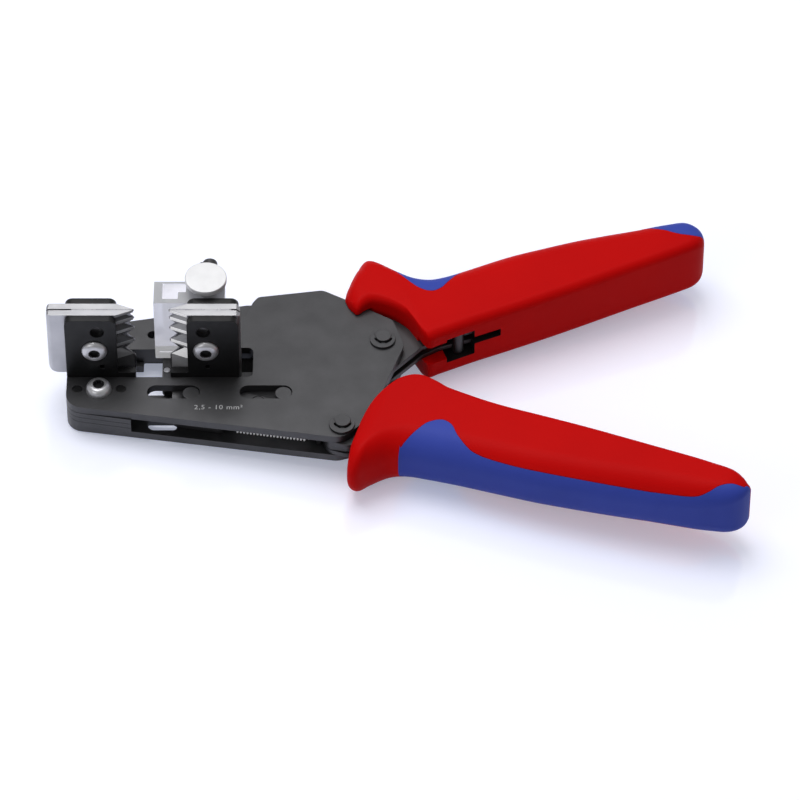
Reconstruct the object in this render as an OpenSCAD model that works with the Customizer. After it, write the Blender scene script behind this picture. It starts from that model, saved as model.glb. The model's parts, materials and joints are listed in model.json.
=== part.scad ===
// Precision wire stripper: a flat plate frame with a fixed jaw, a sliding jaw on a carriage,
// a length stop and two pivoting handles with two-colour grips.
// Model axes: x from the frame's nose to the handles, y from the blade plane to the far side,
// z from the middle of the plate stack upwards. seat() then puts the origin under the middle.

/* [Frame] */
// Thickness of the whole plate stack
frame_thick = 10; // [9:0.1:12]
// Thickness of each side plate
plate_thick = 2.4; // [2:0.1:3]
// Half height of the frame at its nose, measured along y
nose_half_w = 16; // [15:0.5:18]
// Widening of the frame from nose to tail, in degrees a side
flare_deg = 8.5; // [7:0.5:9]
// Radius of the frame's nose corners
nose_corner_r = 5; // [3:0.5:6]
// Length of the solid spacer pack at the nose
nose_pack_len = 18.3; // [17.5:0.1:18.6]
// Clearance between the sliding or turning plates
plate_gap = 0.1; // [0.05:0.01:0.15]

/* [Pivots] */
// Upper pivot's place along the frame
upper_pivot_x = 88.9; // [88:0.1:90]
// Upper pivot's distance from the blade plane
upper_pivot_y = 10.3; // [10:0.1:10.8]
// Lower pivot's place along the frame
lower_pivot_x = 77.6; // [77:0.1:78.2]
// Lower pivot's distance from the blade plane
lower_pivot_y = -22.1; // [-22.5:0.1:-21.8]
// Diameter of the pivot bolts
bolt_d = 4.5; // [4:0.1:5]
// Height of a bolt above the top plate
bolt_rise = 1.5; // [1.2:0.1:2]
// Diameter of the flat head under the bottom plate
bolt_head_d = 7.2; // [6.8:0.1:7.4]
// Thickness of that head
bolt_head_h = 1.2; // [0.8:0.1:1.6]
// Outer diameter of a retaining ring
ring_d = 7.2; // [6.8:0.1:7.4]
// Thickness of a retaining ring
ring_thick = 0.8; // [0.6:0.1:1]
// Radial clearance of a bolt or pin in its hole
fit_gap = 0.05; // [0.02:0.01:0.1]
// Turn of each handle from open to closed, in degrees
handle_turn = 18; // [16:0.5:18]

/* [Carriage] */
// Travel of the sliding jaw
travel = 9.4; // [9:0.1:9.4]
// Diameter of the two guide pins
guide_pin_d = 4.8; // [4.4:0.1:5]
// Distance between the guide pins
guide_pitch = 25.9; // [25:0.1:26.5]
// First guide pin's place along the frame, jaws open
guide_pin_x = 35; // [34.6:0.1:35.4]
// Guide slots' distance from the blade plane
guide_y = -10.2; // [-10.5:0.1:-9.9]
// End play of a guide pin in its slot
guide_play = 0.1; // [0.05:0.05:0.3]
// Diameter of the drive pin in the lower lever
drive_pin_d = 4; // [3.6:0.1:4.2]
// Diameter of the link pin between the levers
link_pin_d = 3.6; // [3.2:0.1:3.8]

/* [Jaws] */
// Height of the jaws above the frame
jaw_rise = 22.8; // [22:0.1:24]
// Thickness of the black jaw plates
jaw_plate_thick = 2.2; // [1.8:0.1:2.2]
// Thickness of the steel profile plates
profile_thick = 2; // [1.6:0.1:2]
// Thickness of the blades
blade_thick = 0.5; // [0.4:0.05:0.6]
// Width of the black jaw plates along the frame
jaw_plate_w = 14.4; // [13.5:0.1:14.6]
// Reach of the fixed profile plates past the nose
jaw_overhang = 5.1; // [4:0.1:6]
// Place of the fixed cutting edge along the frame
edge_x = 19.4; // [19:0.1:19.8]
// Clear width between the open cutting edges
jaw_gap = 9.7; // [9.6:0.1:10.2]
// Width of the first, smallest wire notch
notch_w = 2.9; // [2.6:0.1:3]
// Growth in width from one notch to the next
notch_step = 1.05; // [0.9:0.05:1.1]
// Number of wire notches
notch_count = 4; // [3:1:4]
// Length of the bevel towards the cutting edge
bevel_len = 4.8; // [4:0.1:5]
// How far a blade stands past its profile plates
blade_proud = 0.3; // [0.2:0.05:0.4]

/* [Screws] */
// Head diameter of the button screws
screw_head_d = 7.2; // [6.5:0.1:7.6]
// Head height of the button screws
screw_head_h = 1.5; // [1.3:0.1:2]
// Shank diameter of the button screws
screw_d = 4; // [3.5:0.1:4.2]
// Width across the flats of the hexagon socket
socket_af = 2.5; // [2:0.1:3]
// Diameter of the frame's dowel pins
dowel_d = 2.8; // [2.4:0.1:3.2]

/* [Length stop] */
// Width of the stop block along the frame
stop_w = 20; // [18:0.5:20.5]
// Depth of the stop block along the wire
stop_depth = 8.4; // [8:0.1:9]
// Height of the stop block's top above the frame
stop_rise = 20.5; // [20:0.1:21.5]
// Wall thickness of the stop block
stop_wall = 1.8; // [1.5:0.1:2.2]
// Slide of the stop along its rod
stop_travel = 9; // [7:0.5:9]
// Diameter of the stop's rod
rod_d = 4.2; // [4:0.1:4.4]
// Length of the rod behind the jaw
rod_len = 19; // [18.5:0.5:21]
// Diameter of the clamp knob
knob_d = 11.7; // [11:0.1:12.5]
// Thickness of the clamp knob
knob_thick = 1.7; // [1.4:0.1:2.2]

/* [Spring] */
// Wire diameter of the return spring
spring_wire = 0.5; // [0.45:0.01:0.52]
// Outer diameter of the return spring
spring_d = 3.9; // [3.6:0.1:4.2]
// Pitch of the spring's turns
spring_pitch = 0.95; // [0.94:0.01:0.98]
// Turns of the spring
spring_turns = 21; // [16:1:21]

/* [Grips] */
// Thickness of both grips
grip_thick = 19; // [18:0.5:21]
// Largest width of a grip, which its outline follows
grip_w = 22; // [21:0.5:23]
// Reach of the lower grip from its pivot
lower_reach = 115.4; // [110:0.1:120]
// Reach of the upper grip from its pivot
upper_reach = 99.6; // [96:0.1:104]
// Angle of the lower handle to the frame, open, in degrees
lower_deg = 16.5; // [15:0.5:18]
// Angle of the upper handle to the frame, open, in degrees
upper_deg = 20; // [18.5:0.5:21.5]
// Rounding of the grips' long edges on the side towards the other grip
inner_round = 2.6; // [2:0.2:4]
// Rounding of the grips' long edges on the outer side
outer_round = 8; // [6:0.5:8.5]
// Distance of the window pin from the upper pivot
window_pin_x = 21.3; // [20.5:0.1:22]

/* [Hidden] */
$fn = 48;

// Overrun of every cut past the face that it opens
over = 1;

// Heights in the plate stack
half_stack = frame_thick / 2;
inner_half = half_stack - plate_thick;
core_half = 1;
layer_thick = inner_half - core_half - plate_gap;
core_thick = 2 * core_half;

// Stack of a jaw along y
blade_half = blade_thick / 2;
profile_out = blade_half + profile_thick;
jaw_out = profile_out + jaw_plate_thick;
jaw_top = half_stack + jaw_rise;

// Frame edges
window_y0 = -jaw_out - plate_gap;
window_y1 = 6.7;
window_x1 = 52.2;
window_r = 1.6;
strip_y0 = 8.3;
strip_x1 = 58;
pivot_edge_r = 5.6;
slot_w = guide_pin_d + 2 * guide_play;
slot_len = slot_w + travel + 4 * guide_play;
slot_x1 = guide_pin_x + slot_w / 2;
back_rise = 3.1;
function front_edge_y(x) = -nose_half_w - x * tan(flare_deg);
function back_edge_y(x) = nose_half_w + back_rise + x * tan(flare_deg - 0.6);
upper_pivot = [upper_pivot_x, upper_pivot_y];
lower_pivot = [lower_pivot_x, lower_pivot_y];

// Joints between the levers
pivot_gap = lower_pivot - upper_pivot;
pivot_line_deg = atan2(pivot_gap[1], pivot_gap[0]);
link_arm = norm(pivot_gap) / 2;
link_at = upper_pivot + link_arm * dir(pivot_line_deg + handle_turn / 2);
drive_arm = travel / (2 * sin(handle_turn / 2));
drive_at = lower_pivot + drive_arm * dir(90 - handle_turn / 2);

// Fine geometry helpers
function dir(a) = [cos(a), sin(a)];
function unit(v) = v / norm(v);
function turn(p, a) = [p[0] * cos(a) - p[1] * sin(a), p[0] * sin(a) + p[1] * cos(a)];
function cross2(a, b) = a[0] * b[1] - a[1] * b[0];

// Points of a polygon whose corners [x, y, radius] are rounded by arcs
arc_steps = 8;
function corner_arc(p, c, n) =
  let(c2 = [c[0], c[1]], a = unit([p[0], p[1]] - c2), b = unit([n[0], n[1]] - c2), r = c[2])
  let(half = acos(a * b) / 2, mid = c2 + unit(a + b) * r / sin(half))
  let(t1 = c2 + a * r / tan(half) - mid, start = atan2(t1[1], t1[0]))
  let(way = cross2(a, b) < 0 ? 1 : -1, sweep = way * (180 - 2 * half))
  [for (i = [0 : arc_steps]) mid + r * dir(start + sweep * i / arc_steps)];
function rounded(pts) = let(n = len(pts)) [
  for (i = [0 : n - 1])
    each(pts[i][2] > 0 ? corner_arc(pts[(i + n - 1) % n], pts[i], pts[(i + 1) % n])
                       : [[pts[i][0], pts[i][1]]])
];

module seat() {
  translate([-middle_x, -middle_y, grip_thick / 2]) children();
}

module slab(points, z0, z1) {
  translate([0, 0, z0]) linear_extrude(z1 - z0) polygon(points);
}

module upright(points, y0, y1) {
  translate([0, y1, 0]) rotate([90, 0, 0]) linear_extrude(y1 - y0) polygon(points);
}

module rod_z(at, d, z0, z1) {
  translate([at[0], at[1], z0]) cylinder(d = d, h = z1 - z0);
}

module rod_y(x, z, d, y0, y1) {
  translate([x, y1, z]) rotate([90, 0, 0]) cylinder(d = d, h = y1 - y0);
}

// Frame plates

plate_tail = [
  [lower_pivot_x + 0.2, front_edge_y(lower_pivot_x), pivot_edge_r],
  [lower_pivot_x + 7.8, lower_pivot_y + 2.6, pivot_edge_r],
  [upper_pivot_x + 6, upper_pivot_y - 2.3, pivot_edge_r],
  [upper_pivot_x + 2.6, upper_pivot_y + 7.2, 2],
  [78.2, 25.4, 3],
  [71.6, 29.1, 3]
];
step_corner = [53.2, 26.4, 2];
step_foot = [51.8, 24.3, 0.6];
step_end = [48.1, 14.7, 1];
nose_foot = [0, front_edge_y(0) + 0.5, nose_corner_r];
nose_head = [0, back_edge_y(0) - 3, nose_corner_r];

top_outline = rounded(concat(
  [[0, window_y0, 0], nose_foot],
  plate_tail,
  [step_corner, step_foot, step_end, [44.6, window_y1, 0.6]],
  [[window_x1, window_y1, window_r], [window_x1, window_y0, window_r]]
));
bottom_outline = rounded(concat(
  [nose_head, nose_foot],
  plate_tail,
  [step_corner, step_foot]
));

frame_screw_at = [9.1, -9.3];
dowel_spots = [[3.1, -9.1], [15.3, -9], [3.1, 13], [strip_x1 - 2.6, 17.4]];
front_dowels = 2;
strip_hole = [23.5, 14];
waste_y1 = strip_y0 + 1.6;
waste_step = 6.5;
chip_window = rounded([
  [22.8, -13.9, 0.6], [22.8, -17.8, 2], [31, -17.8, 1], [31, -13.9, 0.6]
]);
strip_hole_d = 2.9;

module guide_slots() {
  for (i = [0, 1])
    translate([slot_x1 + i * guide_pitch - slot_w / 2, guide_y, -half_stack - over])
      linear_extrude(frame_thick + 2 * over)
        hull() {
          circle(d = slot_w, $fn = 32);
          translate([slot_w - slot_len, 0]) circle(d = slot_w, $fn = 32);
        }
}

module plate_holes() {
  for (p = [upper_pivot, lower_pivot])
    rod_z(p, bolt_d + 2 * fit_gap, -half_stack - over, half_stack + over);
  rod_z(frame_screw_at, screw_d + 2 * fit_gap, -half_stack - over, half_stack + over);
  for (i = [0 : len(dowel_spots) - 1])
    rod_z(dowel_spots[i], dowel_d + 2 * fit_gap, -half_stack - over, i < front_dowels ? half_stack + over : inner_half);
  rod_z(frame_pin_at, spring_pin_d + 2 * fit_gap, -half_stack - over, inner_half);
  guide_slots();
}

module top_side_plate() {
  color("#4b4b4d") seat() difference() {
    slab(top_outline, inner_half, half_stack);
    plate_holes();
  }
}

module bottom_side_plate() {
  color("#3b3b3d") seat() difference() {
    slab(bottom_outline, -half_stack, -inner_half);
    plate_holes();
    slab(rounded([
      [18.6, window_y0, window_r], [window_x1, window_y0, window_r],
      [window_x1, waste_y1, window_r], [21, waste_y1, 0.4], [21, waste_step, 0.3], [18.6, waste_step, 0.3]
    ]), -half_stack - over, -inner_half + over);
    slab(chip_window, -half_stack - over, -inner_half + over);
    rod_z(strip_hole, strip_hole_d, -half_stack - over, half_stack + over);
  }
}

// Spacers: the nose pack of laminated layers and the strip behind the jaws
nose_notch_x = 16.8;

module nose_spacer_pack() {
  pack = rounded([
    [0, strip_y0 - 0.3, 0], nose_foot, [nose_pack_len, front_edge_y(nose_pack_len), 0],
    [nose_pack_len, window_y0 - 2.4, 0], [nose_notch_x, window_y0 - 2.4, 0], [nose_notch_x, strip_y0 - 0.3, 0]
  ]);
  color("#444446") seat() difference() {
    slab(pack, -inner_half, inner_half);
    plate_holes();
  }
}

module back_strip() {
  strip = rounded([
    nose_head, [0, strip_y0, 0], [46, strip_y0, 0], [strip_x1, strip_y0 + 3.6, 2], [strip_x1, back_edge_y(50) - 0.6, 0],
    [50, back_edge_y(50) - 0.6, 0]
  ]);
  color("#565658") seat() difference() {
    slab(strip, -inner_half, inner_half);
    plate_holes();
    rod_z(strip_hole, strip_hole_d, -half_stack - over, half_stack + over);
  }
}

// Fasteners
socket_depth = 1.2;

dome_share = 0.54;
frame_head_h = 2.3;

module button_screw(len, head_h) {
  difference() {
    union() {
      rotate_extrude() polygon(concat([[0, 0]], [
        for (i = [0 : 6]) [screw_head_d / 2 * (1 - dome_share * i * i / 36), head_h * sin(15 * i)]
      ], [[0, head_h]]));
      translate([0, 0, -len]) cylinder(d = screw_d, h = len + head_h / 2);
    }
    translate([0, 0, head_h - socket_depth])
      cylinder(d = socket_af / cos(30), h = socket_depth + over, $fn = 6);
  }
}

module frame_screw() {
  color("#d8d8dc") seat() translate([frame_screw_at[0], frame_screw_at[1], half_stack])
    button_screw(frame_thick, frame_head_h);
}

module frame_dowels() {
  color("#2f2f31") seat() {
    for (i = [0 : front_dowels - 1])
      rod_z(dowel_spots[i], dowel_d, -half_stack, half_stack);
    for (i = [front_dowels : len(dowel_spots) - 1])
      rod_z(dowel_spots[i], dowel_d, -half_stack, inner_half);
  }
}

ring_groove = 0.35;
ring_shift = [-0.2, -0.6];

module pivot_bolt(at) {
  color("#39393b") seat() difference() {
    union() {
      rod_z(at, bolt_d, -half_stack - bolt_head_h, half_stack + bolt_rise);
      rod_z(at, bolt_head_d, -half_stack - bolt_head_h, -half_stack);
    }
    translate([at[0], at[1], half_stack]) difference() {
      cylinder(d = bolt_d + over, h = ring_thick + 2 * fit_gap);
      translate([0, 0, -over]) cylinder(d = bolt_d - 2 * ring_groove, h = ring_thick + 3 * over);
    }
  }
}

module upper_pivot_bolt() {
  pivot_bolt(upper_pivot);
}

module lower_pivot_bolt() {
  pivot_bolt(lower_pivot);
}

module retaining_rings() {
  neck_d = bolt_d - 2 * ring_groove;
  lug_w = 1.1;
  ring_mouth = 5.2;
  color("#2b2b2d") seat() for (at = [upper_pivot, lower_pivot])
    translate([at[0], at[1], half_stack]) difference() {
      union() {
        difference() {
          translate([ring_shift[0], ring_shift[1], 0]) cylinder(d = ring_d, h = ring_thick);
          translate([0, 0, -over]) cylinder(d = bolt_d + 2 * ring_groove, h = ring_thick + 2 * over);
        }
        for (a = [180, 270, 0])
          rotate([0, 0, a]) translate([bolt_d / 2 - ring_groove, -lug_w / 2, 0])
            cube([2.4 * ring_groove, lug_w, ring_thick]);
      }
      translate([0, 0, -over]) cylinder(d = neck_d + 2 * fit_gap, h = ring_thick + 2 * over);
      translate([-ring_mouth / 2, lug_w / 2 + ring_groove, -over])
        cube([ring_mouth, ring_d, ring_thick + 2 * over]);
    }
}

// Jaws
jaw_foot = inner_half;
jaw_corner_r = 2.2;
open_edge_x = edge_x + jaw_gap;
notch_depth_share = 0.46;
groove_depth_share = 0.24;
land_w = 1.2;
first_tip = jaw_top - 0.3;
function notch_size(i) = notch_w + i * notch_step;
function notch_sum(i) = i <= 0 ? 0 : notch_size(i - 1) + notch_sum(i - 1);
function tip_z(i) = first_tip - notch_sum(i);

// Toothed edge in x and z, running down from the top; side is 1 for the fixed jaw, -1 for the other
function teeth(x, side, back) = concat(
  [[x - side * back, jaw_top], [x - side * 0.4, jaw_top]],
  [for (i = [0 : notch_count - 1]) each [
    [x, tip_z(i)],
    [x - side * notch_size(i) * notch_depth_share, tip_z(i) - notch_size(i) * 0.5]
  ]],
  [[x, tip_z(notch_count)], [x, jaw_foot]]
);

jaw_screw_z = 15.8;
fixed_screw_x = 8.1;
moving_plate_x = 34.1;
moving_screw_x = 39.3;
profile_tail_w = 0.5;
ledge_top = 6.8;

module jaw_plate(x0, screw_x, y0, hole_x = undef, ledge_x = undef) {
  outline = rounded([
    [x0, jaw_foot, 0], [x0 + jaw_plate_w, jaw_foot, 0],
    [x0 + jaw_plate_w, jaw_top, jaw_corner_r], [x0, jaw_top, jaw_corner_r]
  ]);
  x1 = is_undef(ledge_x) ? x0 : ledge_x;
  difference() {
    union() {
      upright(outline, y0, y0 + jaw_plate_thick);
      translate([min(x0, x1), y0, jaw_foot])
        cube([abs(x1 - x0) + over, jaw_plate_thick, ledge_top - jaw_foot]);
    }
    rod_y(screw_x, jaw_screw_z, screw_d + 2 * fit_gap, y0 - over, y0 + jaw_plate_thick + over);
    if (!is_undef(hole_x)) {
      rod_y(hole_x, jaw_top - 4.8, 3.9, y0 - over, y0 + jaw_plate_thick + over);
      rod_y(hole_x + 1, half_stack + 4.1, 1.5, y0 - over, y0 + jaw_plate_thick + over);
    }
  }
}

module fixed_jaw_front_plate() {
  color("#2c2c2e") seat() jaw_plate(0, fixed_screw_x, -jaw_out, fixed_screw_x + 1, edge_x - over);
}

module fixed_jaw_back_plate() {
  color("#2c2c2e") seat() jaw_plate(0, fixed_screw_x, profile_out);
}

module moving_jaw_front_plate() {
  color("#202022") seat() jaw_plate(moving_plate_x, moving_screw_x, -jaw_out, moving_screw_x - 0.6, open_edge_x);
}

module moving_jaw_back_plate() {
  color("#202022") seat() difference() {
    jaw_plate(moving_plate_x, moving_screw_x, profile_out);
    rod_y(rod_x, rod_z_at, rod_d + 2 * fit_gap, -jaw_out, jaw_out + over);
  }
}

// A profile plate has rounded outer corners in plan, a bevel towards its edge, and grooves that run
// along the bevel with a land between them, so that each wire notch keeps its depth on the slope
bevel_deg = atan(profile_thick / bevel_len);
plan_corner_r = 1.2;

function groove(top, bottom, depth) = [
  [0, top], [over, top], [over, bottom], [0, bottom], [-depth, (top + bottom) / 2]
];

module wire_grooves(x, side, way) {
  reach = bevel_len / cos(bevel_deg) + notch_size(notch_count) + over;
  from = way == side ? -reach : -over;
  translate([x, way * blade_half, 0])
    rotate([90, 0, atan2(way * cos(bevel_deg), side * sin(bevel_deg))])
      for (i = [0 : notch_count - 1])
        translate([0, 0, from]) linear_extrude(reach + over) polygon(groove(
          tip_z(i) - land_w / 2, tip_z(i + 1) + land_w / 2, notch_size(i) * groove_depth_share
        ));
}

module profile_plate(outline, x, back_x, side, front) {
  way = front ? -1 : 1;
  plan = rounded([
    [back_x, way * blade_half, 0], [back_x, way * profile_out, plan_corner_r],
    [x - side * bevel_len, way * profile_out, 0], [x, way * blade_half, 0]
  ]);
  difference() {
    intersection() {
      upright(outline, front ? -profile_out : blade_half, front ? -blade_half : profile_out);
      slab(plan, 0, jaw_top + over);
    }
    wire_grooves(x, side, way);
    rod_y(side > 0 ? fixed_screw_x : moving_screw_x, jaw_screw_z, screw_d + 2 * fit_gap,
          -jaw_out, jaw_out);
  }
}

fixed_low_corner = half_stack - 0.4;
fixed_profile_x = edge_x - blade_proud;
fixed_profile = rounded([
  [-jaw_overhang, jaw_top, 0.8], [-jaw_overhang, fixed_low_corner, 3], [-0.1, fixed_low_corner, 0],
  [-0.1, jaw_foot, 0], [fixed_profile_x, jaw_foot, 0], [fixed_profile_x, jaw_top, 0]
]);
moving_right_x = moving_plate_x + jaw_plate_w + profile_tail_w;
moving_profile_x = open_edge_x + blade_proud;
moving_profile = [
  [moving_profile_x, jaw_top], [moving_profile_x, jaw_foot], [moving_right_x, jaw_foot],
  [moving_right_x, jaw_top - 1], [moving_right_x - 1, jaw_top]
];

module fixed_profile_plate_front() {
  color("#d0d0d4") seat() profile_plate(fixed_profile, fixed_profile_x, -jaw_overhang, 1, true);
}

module fixed_profile_plate_back() {
  color("#c4c4c8") seat() profile_plate(fixed_profile, fixed_profile_x, -jaw_overhang, 1, false);
}

module moving_profile_plate_front() {
  color("#dcdce0") seat() profile_plate(moving_profile, moving_profile_x, moving_right_x, -1, true);
}

module moving_profile_plate_back() {
  color("#c8c8cc") seat() profile_plate(moving_profile, moving_profile_x, moving_right_x, -1, false);
}

module blade(x, side, back_x) {
  edge = concat(teeth(x, side, 2), [[back_x, jaw_foot], [back_x, jaw_top]]);
  difference() {
    upright(edge, -blade_half, blade_half);
    rod_y(side > 0 ? fixed_screw_x : moving_screw_x, jaw_screw_z, screw_d + 2 * fit_gap,
          -jaw_out, jaw_out);
  }
}

module fixed_blade() {
  color("#6e6e72") seat() blade(edge_x, 1, 2);
}

module moving_blade() {
  color("#6e6e72") seat() blade(open_edge_x, -1, moving_plate_x + jaw_plate_w - 2);
}

module jaw_screw(x) {
  color("#cfcfd3") seat() translate([x, -jaw_out, jaw_screw_z]) rotate([90, 0, 0])
    button_screw(2 * jaw_out, screw_head_h);
}

module fixed_jaw_screw() {
  jaw_screw(fixed_screw_x);
}

module moving_jaw_screw() {
  jaw_screw(moving_screw_x);
}

// Carriage: two plates with a core between, running on two guide pins
carriage_x0 = 26.6;
carriage_front_x = 44.6;
carriage_arm_y = -17.7;
core_x1 = 62;
push_x = drive_at[0] - drive_pin_d / 2 - plate_gap;
push_y = drive_at[1];
spring_pin_d = 1.6;

function carriage_outline() = rounded([
  [carriage_x0, 6.2, 1], [carriage_x0, window_y0 - 0.2, 1], [29.6, window_y0 - 0.2, 0.6],
  [29.6, -16.4, 2], [carriage_front_x, carriage_arm_y - 1.8, 1.6],
  [carriage_front_x, carriage_arm_y + 2.2, 1.6],
  [37, -14.6, 1], [core_x1 + 3.6, -14.6, 2], [core_x1 + 3.6, 0, 1], [push_x, push_y - 3.4, 0.8],
  [push_x, push_y + 3.4, 0.8], [66, push_y + 1, 1], [62, 6.2, 1]
]);

module guide_holes() {
  for (i = [0, 1])
    rod_z([guide_pin_x + i * guide_pitch, guide_y], guide_pin_d + 2 * fit_gap, -half_stack, half_stack);
  rod_z(carriage_pin_at, spring_pin_d + 2 * fit_gap, -half_stack, half_stack);
  rod_z(stud_at, stud_d + 2 * fit_gap, -half_stack, half_stack);
}

module carriage_top_plate() {
  color("#333335") seat() difference() {
    slab(carriage_outline(), core_half, core_half + layer_thick);
    guide_holes();
  }
}

module carriage_bottom_plate() {
  color("#2e2e30") seat() difference() {
    slab(carriage_outline(), -core_half - layer_thick, -core_half);
    guide_holes();
  }
}

module carriage_core() {
  core = rounded([
    [29.6, 6.2, 0], [29.6, -13.6, 1], [core_x1, -13.6, 1], [core_x1, 6.2, 0]
  ]);
  color("#3a3a3c") seat() difference() {
    slab(core, -core_half, core_half);
    guide_holes();
  }
}

module guide_pins() {
  color("#58585c") seat() for (i = [0, 1])
    rod_z([guide_pin_x + i * guide_pitch, guide_y], guide_pin_d, -half_stack + 0.4, half_stack - 0.4);
}

stud_at = [27.9, 0.6];
stud_d = 2;

module carriage_stud() {
  color("#c8c8cc") seat() rod_z(stud_at, stud_d, -core_half - layer_thick, core_half + layer_thick);
}

// Return spring between the carriage and the frame
carriage_pin_at = [carriage_front_x - 2.6, carriage_arm_y + 0.1];
frame_pin_at = [71, -22.4];

module carriage_spring_pin() {
  color("#77777b") seat() rod_z(carriage_pin_at, spring_pin_d, -core_half - layer_thick, core_half + layer_thick);
}

module frame_spring_pin() {
  color("#77777b") seat() rod_z(frame_pin_at, spring_pin_d, -half_stack, inner_half);
}

coil_rings = 8;
wire_sides = 6;
lead_rings = 4;
coil_r = (spring_d - spring_wire) / 2;
spring_span = norm(frame_pin_at - carriage_pin_at) - spring_pin_d - 2 * fit_gap;
coil_len = spring_turns * spring_pitch;
lead_share = 0.68;
lead_len = (spring_span - coil_len) * lead_share;
spring_deg = atan2(frame_pin_at[1] - carriage_pin_at[1], frame_pin_at[0] - carriage_pin_at[0]);

// Centre line along its own axis: a straight end, half a turn out to the coil, the turns, and back
function spring_path() = let(last = spring_turns * coil_rings) concat(
  [[0, 0, 0], [lead_len - 2 * spring_pitch, 0, 0]],
  [for (i = [1 : lead_rings - 1]) let(t = i / lead_rings, a = -180 * (1 - t))
    [lead_len - 2 * spring_pitch * (1 - t), coil_r * t * cos(a), coil_r * t * sin(a)]],
  [for (i = [0 : last]) let(a = 360 * i / coil_rings)
    [lead_len + spring_pitch * i / coil_rings, coil_r * cos(a), coil_r * sin(a)]],
  [for (i = [1 : lead_rings - 1]) let(t = i / lead_rings, a = 180 * t)
    [lead_len + coil_len + 2 * spring_pitch * t, coil_r * (1 - t) * cos(a), coil_r * (1 - t) * sin(a)]],
  [[lead_len + coil_len + 2 * spring_pitch, 0, 0], [spring_span, 0, 0]]
);

function ring_on(p, along) =
  let(t = unit(along), u = unit(cross([0.31, 0.2, 0.93], t)), v = cross(t, u))
  [for (k = [0 : wire_sides - 1]) p + spring_wire / 2 * (u * cos(360 * k / wire_sides)
                                                       + v * sin(360 * k / wire_sides))];

function tube_points(path) = let(n = len(path)) [
  for (i = [0 : n - 1])
    each ring_on(path[i], i == 0 ? [1, 0, 0] : i == n - 1 ? [1, 0, 0] : path[i + 1] - path[i - 1])
];

function tube_faces(rings, sides) = concat(
  [for (k = [1 : sides - 2]) [0, k, k + 1]],
  [for (i = [0 : rings - 2], k = [0 : sides - 1])
    let(a = i * sides + k, b = i * sides + (k + 1) % sides)
    each [[a, a + sides, b + sides], [a, b + sides, b]]],
  [for (k = [1 : sides - 2]) let(s = (rings - 1) * sides) [s, s + k + 1, s + k]]
);

// Least gap between one turn and the next, measured on the path's points
function least_turn_gap(path) = min([
  for (i = [0 : len(path) - 1 - coil_rings + 2], j = [i + coil_rings - 2 : min(len(path) - 1, i + coil_rings + 2)])
    norm(path[i] - path[j])
]) - spring_wire;

module return_spring() {
  path = spring_path();
  echo(spring_least_gap = least_turn_gap(path), spring_rings = len(path));
  color("#b8b8bc") seat() translate([carriage_pin_at[0], carriage_pin_at[1], 0]) rotate([0, 0, spring_deg])
    translate([spring_pin_d / 2 + fit_gap, 0, 0])
      polyhedron(points = tube_points(path), faces = tube_faces(len(path), wire_sides), convexity = 10);
}

// Length stop on its rod behind the moving jaw
stop_x0 = 24.6;
stop_y0 = jaw_out + 0.15;
stop_top = half_stack + stop_rise;
rod_x = stop_x0 + stop_w - 4.6;
rod_z_at = stop_top - 3.5;
stop_foot = inner_half + 0.3;
boss_w = 11;
boss_step = 2.2;
boss_ledge = 2.6;
side_wall = 2.5;
back_wall = 0.9;
knob_x = rod_x - 0.7;
knob_y = stop_y0 + 5.4;
knob_lift = 3.2;
stem_d = 5;
stem_clear = 0.3;

module stop_rod() {
  nub = 1.2;
  color("#1d1d1f") seat() {
    rod_y(rod_x, rod_z_at, rod_d, profile_out, jaw_out + rod_len);
    translate([rod_x - rod_d / 2 - nub / 2, jaw_out + rod_len - nub, rod_z_at - nub / 2])
      cube([nub, nub, nub]);
  }
}

module length_stop() {
  y1 = stop_y0 + stop_depth;
  boss_x = stop_x0 + stop_w - boss_w;
  color("#e4e6ee") seat() difference() {
    union() {
      translate([stop_x0, stop_y0, stop_foot + 5]) cube([stop_w, stop_depth, stop_top - stop_foot - 5]);
      translate([stop_x0, stop_y0, stop_foot]) cube([6.4, stop_depth, 5 + stop_wall]);
    }
    slab([
      [stop_x0 + side_wall, stop_y0 + stop_wall], [boss_x - boss_step, stop_y0 + stop_wall],
      [boss_x - boss_step, stop_y0 + stop_wall + boss_ledge], [boss_x, stop_y0 + stop_wall + boss_ledge],
      [boss_x, y1 - back_wall], [stop_x0 + side_wall, y1 - back_wall]
    ], half_stack + 4, stop_top + over);
    rod_y(rod_x, rod_z_at, rod_d + 2 * fit_gap, stop_y0 - over, y1 + over);
    rod_z([knob_x, knob_y], stem_d * 0.6 + 2 * fit_gap, rod_z_at, stop_top + over);
  }
}

module stop_knob() {
  grip_scallops = 12;
  color("#ececec") seat() translate([knob_x, knob_y, 0]) {
    translate([0, 0, stop_top + knob_lift]) cylinder(d = knob_d, h = knob_thick);
    translate([0, 0, stop_top + stem_clear]) cylinder(d = stem_d, h = knob_lift - stem_clear);
    translate([0, 0, rod_z_at + rod_d / 2 + stem_clear])
      cylinder(d = stem_d * 0.6, h = stop_top + stem_clear - rod_z_at - rod_d / 2 - stem_clear);
  }
}

// Handle axes: local x runs along the handle from its pivot, local y towards the other handle
module on_upper() {
  translate([upper_pivot_x, upper_pivot_y, 0]) rotate([0, 0, upper_deg]) mirror([0, 1, 0]) children();
}

module on_lower() {
  translate([lower_pivot_x, lower_pivot_y, 0]) rotate([0, 0, -lower_deg]) children();
}

function in_upper(p) = let(q = turn(p - upper_pivot, -upper_deg)) [q[0], -q[1]];
function in_lower(p) = turn(p - lower_pivot, lower_deg);
function out_upper(p) = upper_pivot + turn([p[0], -p[1]], upper_deg);
function out_lower(p) = lower_pivot + turn(p, -lower_deg);

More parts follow.
